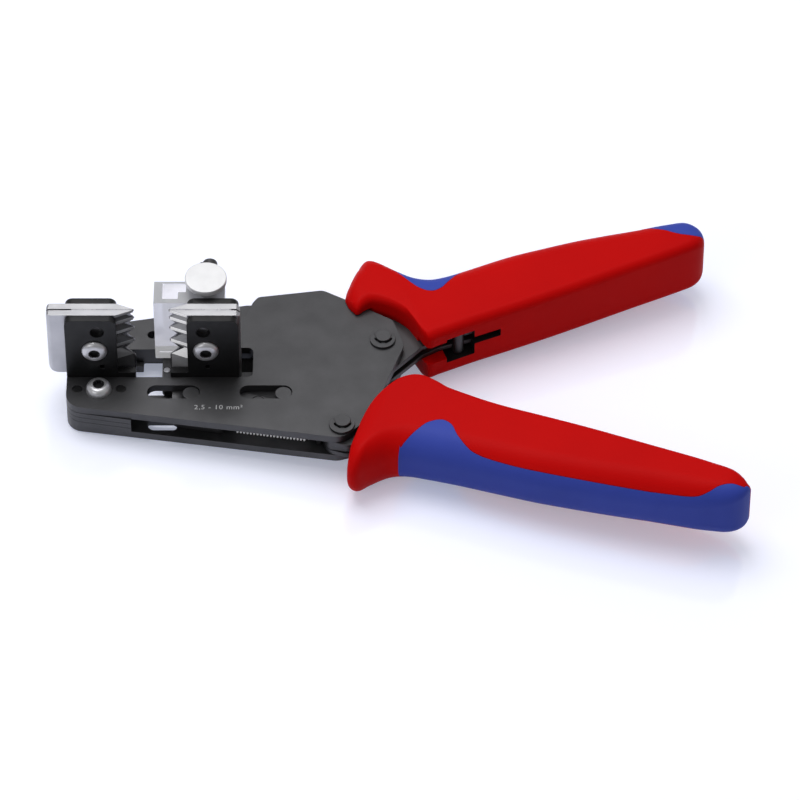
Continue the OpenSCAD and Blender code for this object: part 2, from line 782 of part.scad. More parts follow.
// Upper lever: two plates joined by the window pin and the link pin
link_eye_r = 4;
upper_tang = let(m = in_upper(link_at)) rounded([
  [m[0] - 3.7, m[1] - 1.6, 0.8], [m[0] - 3.4, m[1] + 4, 3.4], [m[0] + 2.6, m[1] + 4.4, 2],
  [-2.4, 11, 3], [10, 4.6, 3], [window_pin_x - 5, 3.4, 3], [window_pin_x + 9, 3.4, 1],
  [48, -3, 1.5], [48, -11, 1.5], [12, -10.5, 3], [3, -7, 3], [-4.2, -3.6, 3], [-3.4, 2, 2]
]);
window_pin_at = [window_pin_x, 3.2];
window_pin_d = 3.4;

module lever_bores() {
  rod_z(upper_pivot, bolt_d + 2 * fit_gap, -half_stack, half_stack);
  rod_z(lower_pivot, bolt_d + 2 * fit_gap, -half_stack, half_stack);
}

module upper_tang_plates() {
  color("#3f3f42") seat() difference() {
    union() {
      on_upper() slab(upper_tang, core_half, core_half + layer_thick);
      on_upper() slab(upper_tang, -core_half - layer_thick, -core_half);
    }
    lever_bores();
    rod_z(link_at, link_pin_d + 2 * fit_gap, -half_stack, half_stack);
    rod_z(out_upper(window_pin_at), window_pin_d + 2 * fit_gap, -half_stack, half_stack);
  }
}

module window_pin() {
  at = out_upper(window_pin_at);
  color("#8a8a8e") seat() rod_z(at, window_pin_d, window_z[0] + plate_gap, window_z[1] - plate_gap);
}

module link_pin() {
  color("#8a8a8e") seat() rod_z(link_at, link_pin_d, -core_half - layer_thick, core_half + layer_thick);
}

// Lower lever: one core plate that carries the drive pin, and two cheeks inside the grip
lever_half = core_half - plate_gap;
boss_r = 5.4;
link_slot_play = 1.1;
lower_core = let(m = in_lower(link_at), d = in_lower(drive_at)) rounded([
  [-5.4, -2, 3], [-5.2, 6, 3], [d[0] - 3.6, d[1] - 2, 2], [d[0] - 3, d[1] + 3.6, 2.6],
  [d[0] + 3.4, d[1] + 3.2, 2.6], [d[0] + 4.4, d[1] - 3.6, 2], [m[0] + 5.2, m[1] + 3.6, 3],
  [14, 11, 3], [60, 10.6, 2], [60, 1.6, 2], [8, -0.4, 4], [3.4, -5, 3], [-3, -5.4, 3]
]);
lower_cheek = rounded([
  [-5.3, -1.4, 4], [-4.6, 4.8, 3.6], [1, 7.2, 3], [10, 11.4, 4], [62, 11, 2], [62, 1, 2], [9, -1, 5],
  [3, -5.6, 4], [-3.4, -5.4, 3.6]
]);

module lower_lever() {
  m_dir = 90 - handle_turn / 2;
  slot_deg = pivot_line_deg + 180 - handle_turn / 2;
  color("#47474a") seat() difference() {
    on_lower() slab(lower_core, -lever_half, lever_half);
    lever_bores();
    rod_z(drive_at, drive_pin_d + 2 * fit_gap, -half_stack, half_stack);
    translate([link_at[0], link_at[1], -half_stack]) rotate([0, 0, slot_deg])
      linear_extrude(frame_thick) hull() {
        translate([-link_slot_play, 0]) circle(d = link_pin_d + 4 * plate_gap, $fn = 32);
        translate([link_slot_play, 0]) circle(d = link_pin_d + 4 * plate_gap, $fn = 32);
      }
  }
}

module lower_tang_cheeks() {
  color("#3f3f42") seat() difference() {
    union() {
      on_lower() slab(lower_cheek, core_half, core_half + layer_thick);
      on_lower() slab(lower_cheek, -core_half - layer_thick, -core_half);
    }
    lever_bores();
  }
}

module drive_pin() {
  color("#8a8a8e") seat() rod_z(drive_at, drive_pin_d, -core_half - layer_thick, core_half + layer_thick);
}

// Grips: sections lofted along each handle between an inner and an outer edge.
// The tables give shares of the reach along the handle, and of the grip's width across it.
lower_inner_shares = [
  [0.042, -0.2], [0.044, 0.06], [0.05, 0.32], [0.06, 0.5], [0.074, 0.65], [0.096, 0.83], [0.12, 0.935],
  [0.14, 0.97], [0.16, 0.965], [0.19, 0.92], [0.217, 0.865], [0.27, 0.815], [0.323, 0.775], [0.375, 0.752],
  [0.478, 0.73], [0.581, 0.703], [0.736, 0.642], [0.84, 0.6], [0.892, 0.57], [0.945, 0.53], [0.98, 0.45],
  [1, 0.36]
];
lower_outer_shares = [
  [0.042, -0.44], [0.046, -0.62], [0.056, -0.715], [0.074, -0.7], [0.093, -0.56], [0.13, -0.365],
  [0.17, -0.275], [0.22, -0.25], [0.3, -0.235], [0.4, -0.235], [0.51, -0.23], [0.7, -0.165],
  [0.868, -0.07], [0.93, 0], [0.966, 0.07], [0.99, 0.18], [1, 0.3]
];
upper_inner_shares = [
  [-0.054, -0.64], [-0.042, -0.5], [-0.016, -0.53], [0.01, -0.545], [0.035, -0.48], [0.06, -0.36],
  [0.08, -0.22], [0.092, -0.06], [0.1, 0.22], [0.11, 0.33], [0.14, 0.325], [0.25, 0.28], [0.375, 0.245],
  [0.52, 0.195], [0.75, 0.09], [0.93, 0.01], [0.97, -0.03], [0.99, -0.1], [1, -0.2]
];
upper_outer_shares = [
  [-0.054, -0.78], [-0.041, -0.9], [-0.027, -0.98], [-0.004, -1.12], [0.018, -1.25], [0.036, -1.34],
  [0.052, -1.385], [0.066, -1.365], [0.083, -1.285], [0.113, -1.105], [0.15, -0.915], [0.193, -0.8],
  [0.235, -0.77], [0.287, -0.775], [0.44, -0.82], [0.55, -0.81], [0.66, -0.785], [0.8, -0.715],
  [0.876, -0.67], [0.93, -0.62], [0.967, -0.57], [0.99, -0.45], [1, -0.32]
];
end_height_share = 0.62;
end_round_share = 0.06;
grip_stations = 44;
ring_points = 20;

// Smooth curve through a table of [place, value]
function slope_at(t, i) = let(a = max(0, i - 1), b = min(len(t) - 1, i + 1)) (t[b][1] - t[a][1]) / (t[b][0] - t[a][0]);
function cell_of(t, x, i = 0) = i >= len(t) - 2 || x < t[i + 1][0] ? i : cell_of(t, x, i + 1);
function curve(t, x) =
  let(i = cell_of(t, x), w = t[i + 1][0] - t[i][0], s = max(0, min(1, (x - t[i][0]) / w)))
  let(m0 = slope_at(t, i) * w, m1 = slope_at(t, i + 1) * w, s2 = s * s, s3 = s2 * s)
  t[i][1] * (2 * s3 - 3 * s2 + 1) + m0 * (s3 - 2 * s2 + s) + t[i + 1][1] * (3 * s2 - 2 * s3) + m1 * (s3 - s2);

// Stations crowd towards both ends, where the outline turns
function station(table, k) = let(a = table[0][0], u = k / grip_stations, s = (u + (1 - cos(180 * u)) / 2) / 2)
  a + (1 - a) * s;
function end_drop(table, s) = let(a = table[0][0], e = min(s - a, 1 - s) / end_round_share)
  e >= 1 ? 1 : end_height_share + (1 - end_height_share) * sqrt(max(0, 1 - (1 - e) * (1 - e)));

function grip_ring(inner, outer, reach, s) =
  let(y1 = curve(inner, s) * grip_w, y0 = curve(outer, s) * grip_w, h = grip_thick / 2 * end_drop(inner, s))
  let(wide = (y1 - y0) * 0.48, ri = min(inner_round, wide, h * 0.96), ro = min(outer_round, wide, h * 0.96))
  let(steps = ring_points / 4 - 1)
  [for (q = [0 : 3], k = [0 : steps]) let(a = 90 * q + 90 * k / steps, r = q == 0 || q == 3 ? ri : ro)
    [s * reach,
     (q == 0 || q == 3 ? y1 - r : y0 + r) + r * cos(a),
     (q < 2 ? h - r : r - h) + r * sin(a)]];

module grip_body(inner, outer, reach) {
  rings = [for (k = [0 : grip_stations]) each grip_ring(inner, outer, reach, station(inner, k))];
  polyhedron(points = rings, faces = grip_faces(grip_stations + 1, ring_points), convexity = 6);
}

function grip_faces(rings, sides) = concat(
  [[for (k = [sides - 1 : -1 : 0]) k]],
  [for (i = [0 : rings - 2], k = [0 : sides - 1])
    let(a = i * sides + k, b = i * sides + (k + 1) % sides)
    each [[a, b, b + sides], [a, b + sides, a + sides]]],
  [[for (k = [0 : sides - 1]) (rings - 1) * sides + k]]
);

// Plan outlines of the soft inlays, as shares of the reach and of the grip's width
lower_inlay_shares = [
  [0.155, -1.2], [0.155, -0.15], [0.18, -0.055], [0.205, 0.145], [0.237, 0.245], [0.263, 0.2],
  [0.285, 0.06], [0.315, -0.06], [0.345, -0.115], [0.4, -0.14], [0.5, -0.145], [0.67, -0.1],
  [0.812, -0.04], [0.877, 0], [0.906, 0.065], [0.93, 0.17], [0.956, 0.24], [0.985, 0.27], [1, 0.345],
  [1.1, 0.6], [1.1, -1.2]
];
upper_inlay_shares = [
  [0.1, -1.9], [0.105, -1.1], [0.112, -0.92], [0.129, -0.69], [0.151, -0.5], [0.179, -0.4], [0.21, -0.415],
  [0.24, -0.505], [0.276, -0.62], [0.33, -0.735], [0.5, -0.765], [0.6, -0.75], [0.75, -0.69], [0.84, -0.6],
  [0.87, -0.48], [0.893, -0.39], [0.914, -0.3], [0.944, -0.21], [0.987, -0.15], [1.1, -0.14], [1.1, -1.9]
];

function scaled(shares, reach) = [for (p = shares) [p[0] * reach, p[1] * grip_w]];

module inlay_zone(shares, reach) {
  slab(scaled(shares, reach), -grip_thick, grip_thick);
}

// Slots in the grips that the frame's plates turn in, and pockets for the tangs
frame_slot_half = half_stack + 0.3;
tang_slot_half = core_half + layer_thick + fit_gap;
upper_slot = [[-40, -40], [-15, -30.5], [6.2, -6.6], [7.2, 0], [7.2, 12], [-40, 12]];
lower_slot = [[-30, -8], [9, -8], [14.5, 3], [17.2, 30], [-30, 30]];
window_z = [-4.2, 5.2];
window_x = [window_pin_x - 4.7, window_pin_x + 4];
notch_reach = 8.1;
notch_z = [-0.2, 2.5];
slit = [[4, 2], [window_x[0] + 1, 2], [window_x[0] + 1, 12], [4, 12]];
slit_top = 4.2;

module upper_grip_solid() {
  difference() {
    grip_body(upper_inner_shares, upper_outer_shares, upper_reach);
    slab(upper_slot, -frame_slot_half, frame_slot_half);
    slab(upper_tang, -tang_slot_half, tang_slot_half);
    slab(slit, -tang_slot_half, slit_top);
    translate([window_x[0], 0.6, window_z[0]])
      cube([window_x[1] - window_x[0], grip_w, window_z[1] - window_z[0]]);
    translate([window_x[1] - over, 0.6, notch_z[0]]) cube([notch_reach + over, grip_w, notch_z[1] - notch_z[0]]);
  }
}

module lower_grip_solid() {
  difference() {
    grip_body(lower_inner_shares, lower_outer_shares, lower_reach);
    slab(lower_slot, -frame_slot_half, frame_slot_half);
    slab(lower_cheek, -tang_slot_half, tang_slot_half);
  }
}

module upper_grip_shell() {
  color("#c81a12") seat() on_upper() difference() {
    upper_grip_solid();
    inlay_zone(upper_inlay_shares, upper_reach);
  }
}

module upper_grip_inlay() {
  color("#2b3c98") seat() on_upper() intersection() {
    upper_grip_solid();
    inlay_zone(upper_inlay_shares, upper_reach);
  }
}

module lower_grip_shell() {
  color("#c81a12") seat() on_lower() difference() {
    lower_grip_solid();
    inlay_zone(lower_inlay_shares, lower_reach);
  }
}

module lower_grip_inlay() {
  color("#2b3c98") seat() on_lower() intersection() {
    lower_grip_solid();
    inlay_zone(lower_inlay_shares, lower_reach);
  }
}

// Middle of the part's footprint, from the outlines that reach furthest
function edge_points(table, reach) =
  [for (k = [0 : grip_stations]) let(s = station(table, k)) [s * reach, curve(table, s) * grip_w]];
lower_rim = concat(
  [for (p = edge_points(lower_inner_shares, lower_reach)) out_lower(p)],
  [for (k = [0 : grip_stations]) let(s = station(lower_inner_shares, k))
    out_lower([s * lower_reach, curve(lower_outer_shares, s) * grip_w])]
);
upper_rim = [for (k = [0 : grip_stations]) let(s = station(upper_inner_shares, k))
  out_upper([s * upper_reach, curve(upper_outer_shares, s) * grip_w])];
far_x = max([for (p = lower_rim) p[0]]);
near_y = min([for (p = lower_rim) p[1]]);
far_y = max([for (p = upper_rim) p[1]]);
middle_x = (far_x - jaw_overhang) / 2;
middle_y = (near_y + far_y) / 2;

echo(middle = [middle_x, middle_y], link = link_at, drive = drive_at, reach = [far_x, near_y, far_y]);

top_side_plate();
bottom_side_plate();
nose_spacer_pack();
back_strip();
frame_screw();
frame_dowels();
upper_pivot_bolt();
lower_pivot_bolt();
retaining_rings();
fixed_jaw_front_plate();
fixed_jaw_back_plate();
fixed_profile_plate_front();
fixed_profile_plate_back();
fixed_blade();
fixed_jaw_screw();
carriage_top_plate();
carriage_bottom_plate();
carriage_core();
guide_pins();
carriage_stud();
carriage_spring_pin();
frame_spring_pin();
return_spring();
moving_jaw_front_plate();
moving_jaw_back_plate();
moving_profile_plate_front();
moving_profile_plate_back();
moving_blade();
moving_jaw_screw();
stop_rod();
length_stop();
stop_knob();
upper_tang_plates();
window_pin();
link_pin();
upper_grip_shell();
upper_grip_inlay();
lower_lever();
lower_tang_cheeks();
drive_pin();
lower_grip_shell();
lower_grip_inlay();
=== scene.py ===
import bpy
import bmesh
import json
import math
from mathutils import Matrix, Vector


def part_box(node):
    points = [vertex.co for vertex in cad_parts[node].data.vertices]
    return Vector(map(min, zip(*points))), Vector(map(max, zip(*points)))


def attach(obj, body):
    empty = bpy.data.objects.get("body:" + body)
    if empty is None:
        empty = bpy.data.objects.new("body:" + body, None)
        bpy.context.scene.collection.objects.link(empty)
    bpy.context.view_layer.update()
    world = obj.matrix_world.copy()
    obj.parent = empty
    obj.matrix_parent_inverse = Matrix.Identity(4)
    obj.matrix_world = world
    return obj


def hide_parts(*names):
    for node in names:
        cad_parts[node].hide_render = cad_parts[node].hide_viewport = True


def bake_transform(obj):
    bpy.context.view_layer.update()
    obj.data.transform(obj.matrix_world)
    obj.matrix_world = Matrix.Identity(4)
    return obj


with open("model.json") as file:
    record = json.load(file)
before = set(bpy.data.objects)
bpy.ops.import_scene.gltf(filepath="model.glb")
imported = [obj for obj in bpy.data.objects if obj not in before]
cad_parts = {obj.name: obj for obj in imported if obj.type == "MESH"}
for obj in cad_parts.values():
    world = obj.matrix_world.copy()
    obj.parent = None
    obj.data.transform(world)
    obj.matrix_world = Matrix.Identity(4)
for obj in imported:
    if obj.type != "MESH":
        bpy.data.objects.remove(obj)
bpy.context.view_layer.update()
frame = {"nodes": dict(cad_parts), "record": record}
bodies = frame["record"]["behaviour"]["bodies"]
bodyOf = {node: body for body, nodes in bodies.items() for node in nodes}
slotOf = {row["node"]: row["material_slot"] for row in frame["record"]["subparts"]}
scene = bpy.context.scene
scene.view_settings.view_transform = "Standard"
print("stage: frame loaded")

# Tool axes in mm: x from the nose's left end, y from the blade plane, z from the middle of the plates
origin = Vector((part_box("nose_spacer_pack")[0].x,
                 sum(c.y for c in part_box("fixed_blade")) / 2,
                 (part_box("top_side_plate")[1].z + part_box("bottom_side_plate")[0].z) / 2))
toolToRow = Matrix.Translation(origin) @ Matrix.Scale(0.001, 4)

# Camera: a long lens from 47.5 degrees above the nose's front
camera = {"focal": 261.0, "sensor": 36, "clipEnd": 20, "elevation": 47.5, "distance": 1624.0,
          "target": (93.6, -13.3, 5.0)}
lens = bpy.data.cameras.new("studioCamera")
lens.lens = camera["focal"]
lens.sensor_width = camera["sensor"]
lens.clip_end = camera["clipEnd"]
view = bpy.data.objects.new("studioCamera", lens)
tip = math.radians(camera["elevation"])
back = Vector((0, -math.cos(tip), math.sin(tip))) * camera["distance"]
view.location = toolToRow @ (Vector(camera["target"]) + back)
view.rotation_euler = (math.pi / 2 - tip, 0, 0)
scene.collection.objects.link(view)
scene.camera = view


# Materials
def linear(code):
    parts = [int(code[i:i + 2], 16) / 255 for i in (1, 3, 5)]
    return [p / 12.92 if p <= 0.04045 else ((p + 0.055) / 1.055) ** 2.4 for p in parts] + [1]


def addNode(tree, kind, settings=None, links=None, **props):
    node = tree.nodes.new(kind)
    for key, value in props.items():
        setattr(node, key, value)
    for key, value in (settings or {}).items():
        node.inputs[key].default_value = value
    for key, source in (links or {}).items():
        tree.links.new(source, node.inputs[key])
    return node


def newMaterial(name):
    material = bpy.data.materials.new(name)
    material.use_nodes = True
    material.node_tree.nodes.clear()
    return material, material.node_tree


# One pattern family: slow blotches in the colour, a grain in gloss and relief, an optional brushing
pattern = {"blotchDetail": 4.0, "grainDetail": 2.0, "toneFrom": 0.3, "toneTo": 0.7, "edgeMm": 0.1,
           "reliefShare": 0.25}


def surface(name, look):
    material, tree = newMaterial(name)
    place = addNode(tree, "ShaderNodeTexCoord").outputs["Object"]
    stretch = addNode(tree, "ShaderNodeMapping", {"Scale": look.get("stretch", (1, 1, 1))}, {"Vector": place})
    blotch = addNode(tree, "ShaderNodeTexNoise",
                     {"Scale": 1000 / look["blotchMm"], "Detail": pattern["blotchDetail"]}, {"Vector": place})
    grain = addNode(tree, "ShaderNodeTexNoise",
                    {"Scale": 1000 / look["grainMm"], "Detail": pattern["grainDetail"]},
                    {"Vector": stretch.outputs[0]})
    tone = addNode(tree, "ShaderNodeValToRGB", links={"Fac": blotch.outputs["Fac"]})
    for stop, at, key in zip(tone.color_ramp.elements, ("toneFrom", "toneTo"), ("shade", "colour")):
        stop.position = pattern[at]
        stop.color = linear(look[key])
    gloss = addNode(tree, "ShaderNodeMapRange", {"To Min": look["rough"][0], "To Max": look["rough"][1]},
                    {"Value": grain.outputs["Fac"]})
    rounding = addNode(tree, "ShaderNodeBevel", {"Radius": pattern["edgeMm"] / 1000}, samples=4)
    relief = addNode(tree, "ShaderNodeBump",
                     {"Strength": look["bump"], "Distance": look["grainMm"] / 1000 * pattern["reliefShare"]},
                     {"Height": grain.outputs["Fac"], "Normal": rounding.outputs[0]})
    shader = addNode(tree, "ShaderNodeBsdfPrincipled",
                     {"Metallic": look.get("metallic", 0.0), **look.get("shader", {})},
                     {"Base Color": tone.outputs[0], "Roughness": gloss.outputs[0],
                      "Normal": relief.outputs[0]})
    addNode(tree, "ShaderNodeOutputMaterial", links={"Surface": shader.outputs[0]})
    return material


def glow(strength, code="#FFFFFF"):
    # A little light of its own, for finishes that stay pale in the shade
    return {"Emission Color": linear(code), "Emission Strength": strength}


looks = {
    # Tool steel, blackened and oiled: dark satin that mirrors the room softly
    "burnished_steel": {"colour": "#4E4E50", "shade": "#444446", "metallic": 0.8, "rough": (0.36, 0.5),
                        "blotchMm": 9, "grainMm": 0.35, "bump": 0.12},
    # The same finish on a polished jaw plate: deeper black
    "black_jaw_steel": {"colour": "#2A2A2B", "shade": "#222223", "metallic": 0.7, "rough": (0.3, 0.42),
                        "blotchMm": 6, "grainMm": 0.3, "bump": 0.08},
    # Tool steel, surface ground: bright with fine lines along the plate
    "ground_steel": {"colour": "#B9B9BC", "shade": "#ABABAF", "metallic": 1.0, "rough": (0.26, 0.42),
                     "blotchMm": 7, "grainMm": 0.5, "stretch": (0.08, 1, 1), "bump": 0.1},
    # The moving jaw's lands between the grooves: painted highlight, near-white with a little painted glow, as
    # if lit from the left front
    "moving_land_painted_light": {"colour": "#F4F4F6", "shade": "#E8E8EB", "rough": (0.35, 0.5),
                    "blotchMm": 4, "grainMm": 0.35, "bump": 0.08, "shader": glow(0.3)},
    # Its grooves: painted shade, a grey and less metallic copy of the same steel
    "moving_groove_painted_shade": {"colour": "#B4B4B7", "shade": "#A4A4A8", "metallic": 0.3, "rough": (0.45, 0.6),
                  "blotchMm": 4, "grainMm": 0.35, "bump": 0.1},
    # The fixed jaw's lands and its grooves: painted shade, darker copies of the same steel, as this jaw faces
    # away from the light
    "fixed_land_painted_shade": {"colour": "#8E8E90", "shade": "#808082", "metallic": 0.3, "rough": (0.35, 0.5),
                   "blotchMm": 4, "grainMm": 0.35, "bump": 0.08},
    "fixed_groove_painted_shade": {"colour": "#464648", "shade": "#3A3A3C", "metallic": 0.3, "rough": (0.4, 0.55),
                     "blotchMm": 4, "grainMm": 0.35, "bump": 0.1},
    # Drawn spring wire: pale satin, made paler and given a painted glow so that it stays bright in the shade
    # under the plate
    "spring_wire": {"colour": "#F2F2F4", "shade": "#E4E4E8", "metallic": 0.3, "rough": (0.3, 0.42),
                    "blotchMm": 3, "grainMm": 0.3, "bump": 0.05, "shader": glow(0.12)},
    # Hardened blade steel: grey with a keen edge
    "hardened_steel": {"colour": "#A8A8AC", "shade": "#8E8E93", "metallic": 1.0, "rough": (0.22, 0.36),
                       "blotchMm": 5, "grainMm": 0.4, "stretch": (1, 1, 0.1), "bump": 0.08},
    # Zinc-plated screws: bright satin
    "plated_steel": {"colour": "#CECED1", "shade": "#BEBEC2", "metallic": 0.8, "rough": (0.3, 0.42),
                     "blotchMm": 3, "grainMm": 0.3, "bump": 0.05},
    # Black oxide without gloss; painted as shade into the screws' sockets and the upper grip's window, so
    # that a socket or bore reads as a hole
    "black_oxide": {"colour": "#141415", "shade": "#0E0E0F", "metallic": 0.2, "rough": (0.5, 0.6),
                    "blotchMm": 3, "grainMm": 0.3, "bump": 0.05},
    # Painted shade: near-black for the carriage's well and the rivet's groove, out of the light
    "painted_shade_black": {"colour": "#060607", "shade": "#030304", "rough": (0.7, 0.85), "blotchMm": 3,
                  "grainMm": 0.3, "bump": 0.05, "shader": {"IOR": 1.5, "Specular IOR Level": 0.1}},
    # Polyamide moulding with spark-eroded grain: satin red, deep because little of the room lies on it
    "red_plastic": {"colour": "#C40807", "shade": "#BC0607", "rough": (0.4, 0.54), "blotchMm": 30,
                    "grainMm": 0.5, "bump": 0.2, "shader": {"IOR": 1.5, "Specular IOR Level": 0.04}},
    # Soft-touch elastomer overmould: matt blue with a finer grain
    "blue_soft_plastic": {"colour": "#3548AA", "shade": "#3042A0", "rough": (0.5, 0.64), "blotchMm": 24,
                          "grainMm": 0.4, "bump": 0.25, "shader": {"IOR": 1.49, "Specular IOR Level": 0.2}},
    # Moulded knob with a pale metallic lacquer: satin, with a grey rim where it mirrors the room's sides
    "white_plastic": {"colour": "#DEDEE0", "shade": "#D6D6D8", "metallic": 0.6, "rough": (0.36, 0.46),
                      "blotchMm": 4, "grainMm": 0.3, "bump": 0.06},
    # Polycarbonate block, milled and polished: clear with faint milk, and a painted glow so that it stays
    # pale
    "clear_plastic": {"colour": "#F3F4FA", "shade": "#ECEEF7", "rough": (0.06, 0.2),
                      "blotchMm": 8, "grainMm": 0.6, "bump": 0.06,
                      "shader": {"Transmission Weight": 0.4, "IOR": 1.5, **glow(0.12, "#F4F4FF")}},
    # The same block's milled recess: milky, with a painted glow so that it stays light inside
    "recess_painted_glow": {"colour": "#F2F2F7", "shade": "#E9E9EF", "rough": (0.3, 0.45),
                     "blotchMm": 6, "grainMm": 0.4, "bump": 0.06, "shader": {"IOR": 1.5, **glow(0.19)}},
    # The same block's top faces: grey
    "grey_top_faces": {"colour": "#B2B3B6", "shade": "#A8A9AD", "rough": (0.4, 0.55), "blotchMm": 5,
                    "grainMm": 0.3, "bump": 0.1, "shader": {"Transmission Weight": 0.15, "IOR": 1.5}},
    # Laser-marked lettering: pale grey and matt
    "laser_mark": {"colour": "#B4B4B6", "shade": "#A6A6A8", "rough": (0.5, 0.6),
                   "blotchMm": 2, "grainMm": 0.2, "bump": 0.05},
}
materials = {name: surface(name, look) for name, look in looks.items()}
print("stage: materials")

# Cutters reach this far past the face that they open, in the cutter's own unit
overrun = 1
edging = {"segments": 2, "angle": 40, "weight": 100}


def newPiece(name, mesh, body, slot, replaced=(), finish=None):
    # A piece without a body is left unattached
    piece = bpy.data.objects.new(name, mesh)
    scene.collection.objects.link(piece)
    mesh.materials.clear()
    mesh.materials.append(materials[finish or slot])
    if replaced:
        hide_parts(*replaced)
    if body:
        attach(piece, body)
    return piece


def meshOf(bm, name):
    mesh = bpy.data.meshes.new(name)
    bm.to_mesh(mesh)
    bm.free()
    return mesh


def onBench(data):
    holder = bpy.data.objects.new("bench", data)
    scene.collection.objects.link(holder)
    return holder


def offBench(holder):
    # What the modifiers make of it, as a plain mesh
    result = bpy.data.meshes.new_from_object(holder.evaluated_get(bpy.context.evaluated_depsgraph_get()))
    bpy.data.objects.remove(holder)
    return result


def applied(mesh, *modifiers):
    holder = onBench(mesh)
    for kind, values in modifiers:
        modifier = holder.modifiers.new(kind, kind)
        for key, value in values.items():
            setattr(modifier, key, value)
    return offBench(holder)


def brokenEdges(mesh, width):
    # A small bevel on each corner, width in the mesh's own unit
    return applied(mesh, ("BEVEL", {"width": width, "segments": edging["segments"], "limit_method": "ANGLE",
                                    "angle_limit": math.radians(edging["angle"]), "use_clamp_overlap": True}),
                   ("WEIGHTED_NORMAL", {"mode": "FACE_AREA", "weight": edging["weight"]}))


def prism(outline, low, high):
    bm = bmesh.new()
    bottom = bm.faces.new([bm.verts.new((x, y, low)) for x, y in outline])
    raised = bmesh.ops.extrude_face_region(bm, geom=[bottom])["geom"]
    corners = [v for v in raised if isinstance(v, bmesh.types.BMVert)]
    bmesh.ops.translate(bm, vec=(0, 0, high - low), verts=corners)
    bmesh.ops.recalc_face_normals(bm, faces=bm.faces)
    return meshOf(bm, "prism")


def box(x0, x1, y0, y1, z0, z1):
    return prism([(x0, y0), (x1, y0), (x1, y1), (x0, y1)], z0, z1)


def disc(x, y, radius, sides=32):
    turns = [2 * math.pi * k / sides for k in range(sides)]
    return [(x + radius * math.cos(a), y + radius * math.sin(a)) for a in turns]


def cut(mesh, cutter, way="DIFFERENCE"):
    tool = onBench(cutter)
    result = applied(mesh, ("BOOLEAN", {"operation": way, "object": tool, "solver": "EXACT"}))
    bpy.data.objects.remove(tool)
    return result


# Broken edges in mm; the jaws' teeth and the screws' sockets need finer ones
bevels = {"default": 0.22, "stop_knob": 0.25, "fixed_blade": 0.0, "moving_blade": 0.0, "frame_screw": 0.12,
          "fixed_jaw_screw": 0.12, "moving_jaw_screw": 0.12, "retaining_rings": 0.12,
          "fixed_profile_plate_front": 0.08, "fixed_profile_plate_back": 0.08,
          "moving_profile_plate_front": 0.08, "moving_profile_plate_back": 0.08}


def softened(node, width):
    # A node's own shape with its triangles joined into faces and its edges broken
    bm = bmesh.new()
    bm.from_mesh(frame["nodes"][node].data)
    bmesh.ops.remove_doubles(bm, verts=bm.verts, dist=2e-6)
    bmesh.ops.dissolve_limit(bm, angle_limit=math.radians(0.5), verts=bm.verts, edges=bm.edges)
    mesh = meshOf(bm, node)
    mesh.shade_smooth()
    if width:
        return brokenEdges(mesh, width / 1000)
    mesh.set_sharp_from_angle(angle=math.radians(30))
    return mesh


# Finishes that differ from the record's slot, and nodes that are made by hand further down
finishes = {"burnished_steel": ("guide_pins", "window_pin", "link_pin", "frame_spring_pin",
                                "carriage_spring_pin"),
            "black_jaw_steel": ("frame_dowels", "fixed_jaw_front_plate", "fixed_jaw_back_plate",
                                "moving_jaw_front_plate", "moving_jaw_back_plate")}
finishOf = {node: finish for finish, nodes in finishes.items() for node in nodes}
handMade = {"upper_grip_shell", "upper_grip_inlay", "lower_grip_shell", "lower_grip_inlay", "return_spring",
            "nose_spacer_pack", "length_stop"}
pieces = {}
for node in sorted(bodyOf):
    if node not in handMade:
        mesh = softened(node, bevels.get(node, bevels["default"]))
        pieces[node] = newPiece(node + "_piece", mesh, bodyOf[node], slotOf[node], [node], finishOf.get(node))


def repaint(mesh, finish, chosen):
    # Gives a second finish to the faces whose middle, in tool axes, and normal are chosen
    mesh.materials.append(materials[finish])
    rowToTool = toolToRow.inverted()
    for face in mesh.polygons:
        if chosen(rowToTool @ face.center, face.normal):
            face.material_index = len(mesh.materials) - 1


# Screws: the hexagon socket is painted black inside, as shade. Middles are (x, y) for the upright screw, else
# (x, z)
screws = {"socketRadius": 1.42, "upright": "frame_screw", "above": 4.9, "before": -4.4,
          "middles": {"frame_screw": (9.1, -9.3), "fixed_jaw_screw": (8.1, 15.8),
                      "moving_jaw_screw": (39.3, 15.8)}}


def inSocket(p, node):
    upright = node == screws["upright"]
    x, other = screws["middles"][node]
    inHead = p.z > screws["above"] if upright else p.y < screws["before"]
    return inHead and math.hypot(p.x - x, (p.y if upright else p.z) - other) < screws["socketRadius"]


# Painted shade: the socket faces get black oxide
for node in screws["middles"]:
    repaint(pieces[node].data, "black_oxide", lambda p, n: inSocket(p, node))

# Jaws: painted light and shade on the profile plates' slopes, lit lands and shaded grooves, darker on the
# fixed jaw
slopes = {"x": (14.5, 34.0), "top": 29.5, "turn": 14.2, "leastLean": 0.1, "mostLean": 0.98, "landTilt": 0.12,
          "ledgeTilt": 0.95, "fixed": ("fixed_land_painted_shade", "fixed_groove_painted_shade"), "moving": ("moving_land_painted_light", "moving_groove_painted_shade")}


def onSlope(p, n):
    leaning = slopes["leastLean"] < abs(n.y) < slopes["mostLean"]
    return leaning and slopes["x"][0] < p.x < slopes["x"][1] and p.z < slopes["top"]


def isLand(p, n):
    # Below the last groove it is the other way round
    return abs(n.z) < slopes["landTilt"] if p.z > slopes["turn"] else n.z > slopes["landTilt"]


for node in [name for name in pieces if "profile_plate" in name]:
    land, groove = slopes[node.split("_")[0]]
    # Lands get the painted light, grooves the painted shade
    repaint(pieces[node].data, land, lambda p, n: onSlope(p, n) and isLand(p, n))
    repaint(pieces[node].data, groove,
            lambda p, n: onSlope(p, n) and not isLand(p, n) and abs(n.z) < slopes["ledgeTilt"])

# Nose pack: three laminations with a broken edge each, so that fine grooves run round the nose
nosePack = {"layers": 3, "groove": 0.08, "bevel": 0.28}


